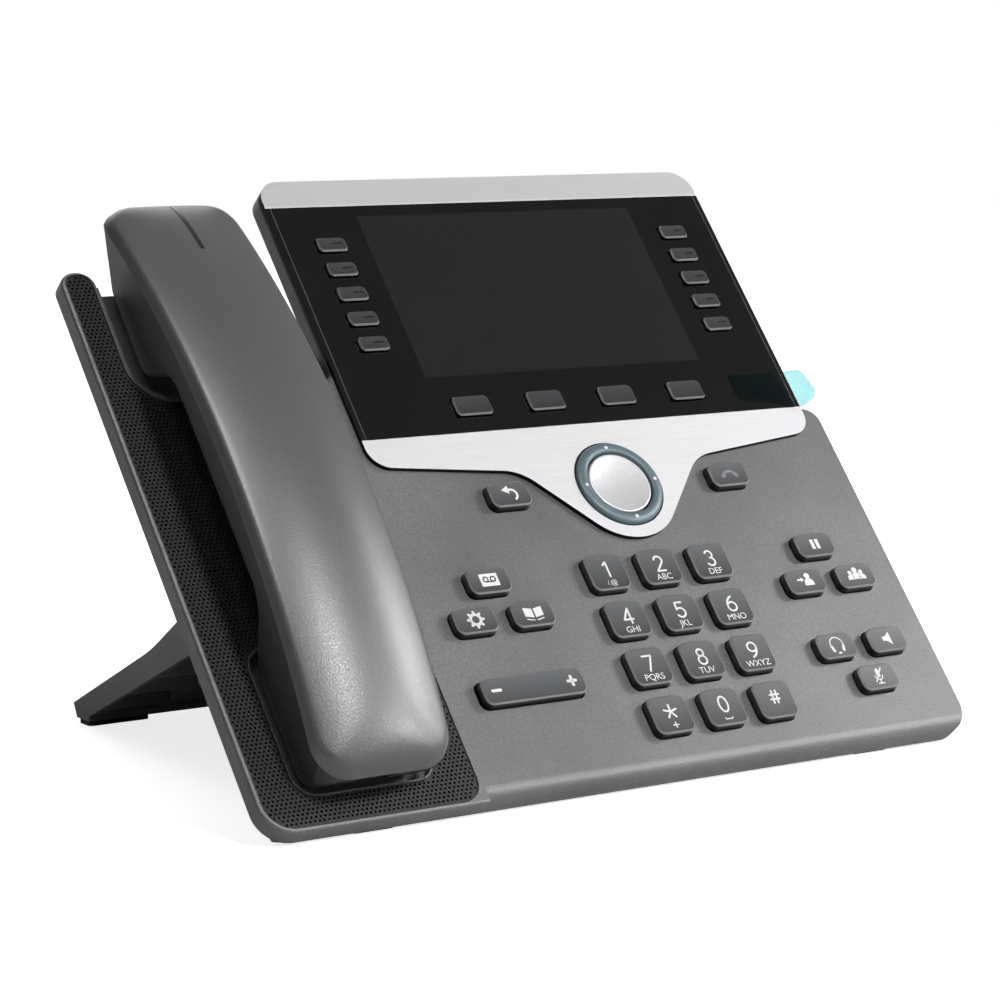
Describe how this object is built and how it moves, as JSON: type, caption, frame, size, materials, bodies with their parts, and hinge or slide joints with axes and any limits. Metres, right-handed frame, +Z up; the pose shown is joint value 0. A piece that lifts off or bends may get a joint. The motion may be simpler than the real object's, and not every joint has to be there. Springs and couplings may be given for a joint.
{
  "type": "desk telephone",
  "caption": "Desk telephone with a lift-off handset, colour display, dial and function keys, navigation ring and a tilting foot stand.",
  "frame": {"origin": "middle of the overall width and depth, on the desk", "axes": "+Z up, +X to the right as the user sees the keypad, +Y away from the user"},
  "size_m": [0.257, 0.1927, 0.1768],
  "materials": {
    "housing_plastic": "fine spark-eroded texture, charcoal grey",
    "handset_plastic": "fine satin texture, charcoal grey",
    "stand_plastic": "satin, dark grey",
    "key_plastic": "semi-gloss charcoal, printed legends",
    "grille_plastic": "perforated, satin black",
    "silver_paint": "silver paint, satin",
    "display_glass": "black printed back",
    "lcd": "switched off",
    "circuit_board": "solder mask",
    "rubber": "matt black",
    "speaker_metal": "black",
    "film": "thin cyan film",
    "light_lens": "dark red tinted, unlit",
    "capsule_metal": "drawn can",
    "ring_plastic": "blue-grey, printed dots"
  },
  "bodies": {
    "base": {"front_housing": "housing_plastic", "rear_housing": "housing_plastic", "speaker_grille": "grille_plastic", "display_bezel": "silver_paint", "display_glass": "display_glass", "lcd_panel": "lcd", "main_board": "circuit_board", "keypad_mat": "rubber", "loudspeaker": "speaker_metal", "base_feet": "rubber", "screen_film_tab": "film"},
    "handset": {"handset_outer_shell": "handset_plastic", "handset_inner_shell": "handset_plastic", "message_light": "light_lens", "receiver_capsule": "capsule_metal", "microphone_capsule": "capsule_metal", "handset_jack": "key_plastic"},
    "hook_plunger": {"hook_plunger": "key_plastic"},
    "stand": {"foot_stand": "stand_plastic", "stand_pads": "rubber"},
    "select_button": {"select_button": "silver_paint"},
    "volume_rocker": {"volume_rocker": "key_plastic"},
    "navigation_ring": {"navigation_ring": "ring_plastic"},
    "key_1": {"key_1": "key_plastic"},
    "key_2": {"key_2": "key_plastic"},
    "key_3": {"key_3": "key_plastic"},
    "key_4": {"key_4": "key_plastic"},
    "key_5": {"key_5": "key_plastic"},
    "key_6": {"key_6": "key_plastic"},
    "key_7": {"key_7": "key_plastic"},
    "key_8": {"key_8": "key_plastic"},
    "key_9": {"key_9": "key_plastic"},
    "key_star": {"key_star": "key_plastic"},
    "key_0": {"key_0": "key_plastic"},
    "key_pound": {"key_pound": "key_plastic"},
    "key_back": {"key_back": "key_plastic"},
    "key_release": {"key_release": "key_plastic"},
    "key_messages": {"key_messages": "key_plastic"},
    "key_settings": {"key_settings": "key_plastic"},
    "key_contacts": {"key_contacts": "key_plastic"},
    "key_hold": {"key_hold": "key_plastic"},
    "key_transfer": {"key_transfer": "key_plastic"},
    "key_conference": {"key_conference": "key_plastic"},
    "key_headset": {"key_headset": "key_plastic"},
    "key_speaker": {"key_speaker": "key_plastic"},
    "key_mute": {"key_mute": "key_plastic"},
    "line_key_left_1": {"line_key_left_1": "key_plastic"},
    "line_key_left_2": {"line_key_left_2": "key_plastic"},
    "line_key_left_3": {"line_key_left_3": "key_plastic"},
    "line_key_left_4": {"line_key_left_4": "key_plastic"},
    "line_key_left_5": {"line_key_left_5": "key_plastic"},
    "line_key_right_1": {"line_key_right_1": "key_plastic"},
    "line_key_right_2": {"line_key_right_2": "key_plastic"},
    "line_key_right_3": {"line_key_right_3": "key_plastic"},
    "line_key_right_4": {"line_key_right_4": "key_plastic"},
    "line_key_right_5": {"line_key_right_5": "key_plastic"},
    "soft_key_1": {"soft_key_1": "key_plastic"},
    "soft_key_2": {"soft_key_2": "key_plastic"},
    "soft_key_3": {"soft_key_3": "key_plastic"},
    "soft_key_4": {"soft_key_4": "key_plastic"}
  },
  "joints": [
    {"name": "handset_lift", "type": "slide", "parent": "base", "child": "handset", "axis": [0, -0.757, 0.6534], "range_m": [0, 0.1]},
    {"name": "hook_plunger_rise", "type": "slide", "parent": "base", "child": "hook_plunger", "axis": [0, -0.757, 0.6534], "range_m": [0, 0.003]},
    {"name": "stand_tilt", "type": "hinge", "parent": "base", "child": "stand", "pos_m": [0, -0.0058, 0.0528], "axis": [1, 0, 0], "range_deg": [0, 20]},
    {"name": "select_button_press", "type": "slide", "parent": "base", "child": "select_button", "axis": [0, 0.757, -0.6534], "range_m": [0, 0.0008], "stiffness_N_per_m": 500, "springref_m": -0.0005},
    {"name": "volume_rock", "type": "hinge", "parent": "base", "child": "volume_rocker", "pos_m": [-0.0274, -0.0661, 0.0281], "axis": [0, 0.6534, 0.757], "range_deg": [-2.5, 2.5], "stiffness_Nm_per_rad": 0.15},
    {"name": "navigation_rock", "type": "hinge", "parent": "base", "child": "navigation_ring", "pos_m": [0.0355, -0.02193, 0.07927], "axis": [1, 0, 0], "range_deg": [-2, 2], "stiffness_Nm_per_rad": 0.2},
    {"name": "key_1_press", "type": "slide", "parent": "base", "child": "key_1", "axis": [0, 0.757, -0.6534], "range_m": [0, 0.001], "stiffness_N_per_m": 400, "springref_m": -0.0005},
    {"name": "key_2_press", "type": "slide", "parent": "base", "child": "key_2", "axis": [0, 0.757, -0.6534], "range_m": [0, 0.001], "stiffness_N_per_m": 400, "springref_m": -0.0005},
    {"name": "key_3_press", "type": "slide", "parent": "base", "child": "key_3", "axis": [0, 0.757, -0.6534], "range_m": [0, 0.001], "stiffness_N_per_m": 400, "springref_m": -0.0005},
    {"name": "key_4_press", "type": "slide", "parent": "base", "child": "key_4", "axis": [0, 0.757, -0.6534], "range_m": [0, 0.001], "stiffness_N_per_m": 400, "springref_m": -0.0005},
    {"name": "key_5_press", "type": "slide", "parent": "base", "child": "key_5", "axis": [0, 0.757, -0.6534], "range_m": [0, 0.001], "stiffness_N_per_m": 400, "springref_m": -0.0005},
    {"name": "key_6_press", "type": "slide", "parent": "base", "child": "key_6", "axis": [0, 0.757, -0.6534], "range_m": [0, 0.001], "stiffness_N_per_m": 400, "springref_m": -0.0005},
    {"name": "key_7_press", "type": "slide", "parent": "base", "child": "key_7", "axis": [0, 0.757, -0.6534], "range_m": [0, 0.001], "stiffness_N_per_m": 400, "springref_m": -0.0005},
    {"name": "key_8_press", "type": "slide", "parent": "base", "child": "key_8", "axis": [0, 0.757, -0.6534], "range_m": [0, 0.001], "stiffness_N_per_m": 400, "springref_m": -0.0005},
    {"name": "key_9_press", "type": "slide", "parent": "base", "child": "key_9", "axis": [0, 0.757, -0.6534], "range_m": [0, 0.001], "stiffness_N_per_m": 400, "springref_m": -0.0005},
    {"name": "key_star_press", "type": "slide", "parent": "base", "child": "key_star", "axis": [0, 0.757, -0.6534], "range_m": [0, 0.001], "stiffness_N_per_m": 400, "springref_m": -0.0005},
    {"name": "key_0_press", "type": "slide", "parent": "base", "child": "key_0", "axis": [0, 0.757, -0.6534], "range_m": [0, 0.001], "stiffness_N_per_m": 400, "springref_m": -0.0005},
    {"name": "key_pound_press", "type": "slide", "parent": "base", "child": "key_pound", "axis": [0, 0.757, -0.6534], "range_m": [0, 0.001], "stiffness_N_per_m": 400, "springref_m": -0.0005},
    {"name": "key_back_press", "type": "slide", "parent": "base", "child": "key_back", "axis": [0, 0.757, -0.6534], "range_m": [0, 0.001], "stiffness_N_per_m": 400, "springref_m": -0.0005},
    {"name": "key_release_press", "type": "slide", "parent": "base", "child": "key_release", "axis": [0, 0.757, -0.6534], "range_m": [0, 0.001], "stiffness_N_per_m": 400, "springref_m": -0.0005},
    {"name": "key_messages_press", "type": "slide", "parent": "base", "child": "key_messages", "axis": [0, 0.757, -0.6534], "range_m": [0, 0.001], "stiffness_N_per_m": 400, "springref_m": -0.0005},
    {"name": "key_settings_press", "type": "slide", "parent": "base", "child": "key_settings", "axis": [0, 0.757, -0.6534], "range_m": [0, 0.001], "stiffness_N_per_m": 400, "springref_m": -0.0005},
    {"name": "key_contacts_press", "type": "slide", "parent": "base", "child": "key_contacts", "axis": [0, 0.757, -0.6534], "range_m": [0, 0.001], "stiffness_N_per_m": 400, "springref_m": -0.0005},
    {"name": "key_hold_press", "type": "slide", "parent": "base", "child": "key_hold", "axis": [0, 0.757, -0.6534], "range_m": [0, 0.001], "stiffness_N_per_m": 400, "springref_m": -0.0005},
    {"name": "key_transfer_press", "type": "slide", "parent": "base", "child": "key_transfer", "axis": [0, 0.757, -0.6534], "range_m": [0, 0.001], "stiffness_N_per_m": 400, "springref_m": -0.0005},
    {"name": "key_conference_press", "type": "slide", "parent": "base", "child": "key_conference", "axis": [0, 0.757, -0.6534], "range_m": [0, 0.001], "stiffness_N_per_m": 400, "springref_m": -0.0005},
    {"name": "key_headset_press", "type": "slide", "parent": "base", "child": "key_headset", "axis": [0, 0.757, -0.6534], "range_m": [0, 0.001], "stiffness_N_per_m": 400, "springref_m": -0.0005},
    {"name": "key_speaker_press", "type": "slide", "parent": "base", "child": "key_speaker", "axis": [0, 0.757, -0.6534], "range_m": [0, 0.001], "stiffness_N_per_m": 400, "springref_m": -0.0005},
    {"name": "key_mute_press", "type": "slide", "parent": "base", "child": "key_mute", "axis": [0, 0.757, -0.6534], "range_m": [0, 0.001], "stiffness_N_per_m": 400, "springref_m": -0.0005},
    {"name": "line_key_left_1_press", "type": "slide", "parent": "base", "child": "line_key_left_1", "axis": [0, 0.757, -0.6534], "range_m": [0, 0.001], "stiffness_N_per_m": 400, "springref_m": -0.0005},
    {"name": "line_key_left_2_press", "type": "slide", "parent": "base", "child": "line_key_left_2", "axis": [0, 0.757, -0.6534], "range_m": [0, 0.001], "stiffness_N_per_m": 400, "springref_m": -0.0005},
    {"name": "line_key_left_3_press", "type": "slide", "parent": "base", "child": "line_key_left_3", "axis": [0, 0.757, -0.6534], "range_m": [0, 0.001], "stiffness_N_per_m": 400, "springref_m": -0.0005},
    {"name": "line_key_left_4_press", "type": "slide", "parent": "base", "child": "line_key_left_4", "axis": [0, 0.757, -0.6534], "range_m": [0, 0.001], "stiffness_N_per_m": 400, "springref_m": -0.0005},
    {"name": "line_key_left_5_press", "type": "slide", "parent": "base", "child": "line_key_left_5", "axis": [0, 0.757, -0.6534], "range_m": [0, 0.001], "stiffness_N_per_m": 400, "springref_m": -0.0005},
    {"name": "line_key_right_1_press", "type": "slide", "parent": "base", "child": "line_key_right_1", "axis": [0, 0.757, -0.6534], "range_m": [0, 0.001], "stiffness_N_per_m": 400, "springref_m": -0.0005},
    {"name": "line_key_right_2_press", "type": "slide", "parent": "base", "child": "line_key_right_2", "axis": [0, 0.757, -0.6534], "range_m": [0, 0.001], "stiffness_N_per_m": 400, "springref_m": -0.0005},
    {"name": "line_key_right_3_press", "type": "slide", "parent": "base", "child": "line_key_right_3", "axis": [0, 0.757, -0.6534], "range_m": [0, 0.001], "stiffness_N_per_m": 400, "springref_m": -0.0005},
    {"name": "line_key_right_4_press", "type": "slide", "parent": "base", "child": "line_key_right_4", "axis": [0, 0.757, -0.6534], "range_m": [0, 0.001], "stiffness_N_per_m": 400, "springref_m": -0.0005},
    {"name": "line_key_right_5_press", "type": "slide", "parent": "base", "child": "line_key_right_5", "axis": [0, 0.757, -0.6534], "range_m": [0, 0.001], "stiffness_N_per_m": 400, "springref_m": -0.0005},
    {"name": "soft_key_1_press", "type": "slide", "parent": "base", "child": "soft_key_1", "axis": [0, 0.757, -0.6534], "range_m": [0, 0.001], "stiffness_N_per_m": 400, "springref_m": -0.0005},
    {"name": "soft_key_2_press", "type": "slide", "parent": "base", "child": "soft_key_2", "axis": [0, 0.757, -0.6534], "range_m": [0, 0.001], "stiffness_N_per_m": 400, "springref_m": -0.0005},
    {"name": "soft_key_3_press", "type": "slide", "parent": "base", "child": "soft_key_3", "axis": [0, 0.757, -0.6534], "range_m": [0, 0.001], "stiffness_N_per_m": 400, "springref_m": -0.0005},
    {"name": "soft_key_4_press", "type": "slide", "parent": "base", "child": "soft_key_4", "axis": [0, 0.757, -0.6534], "range_m": [0, 0.001], "stiffness_N_per_m": 400, "springref_m": -0.0005}
  ],
  "couplings": [
    {"joint": "hook_plunger_rise", "follows": "handset_lift", "ratio": 0.03}
  ]
}
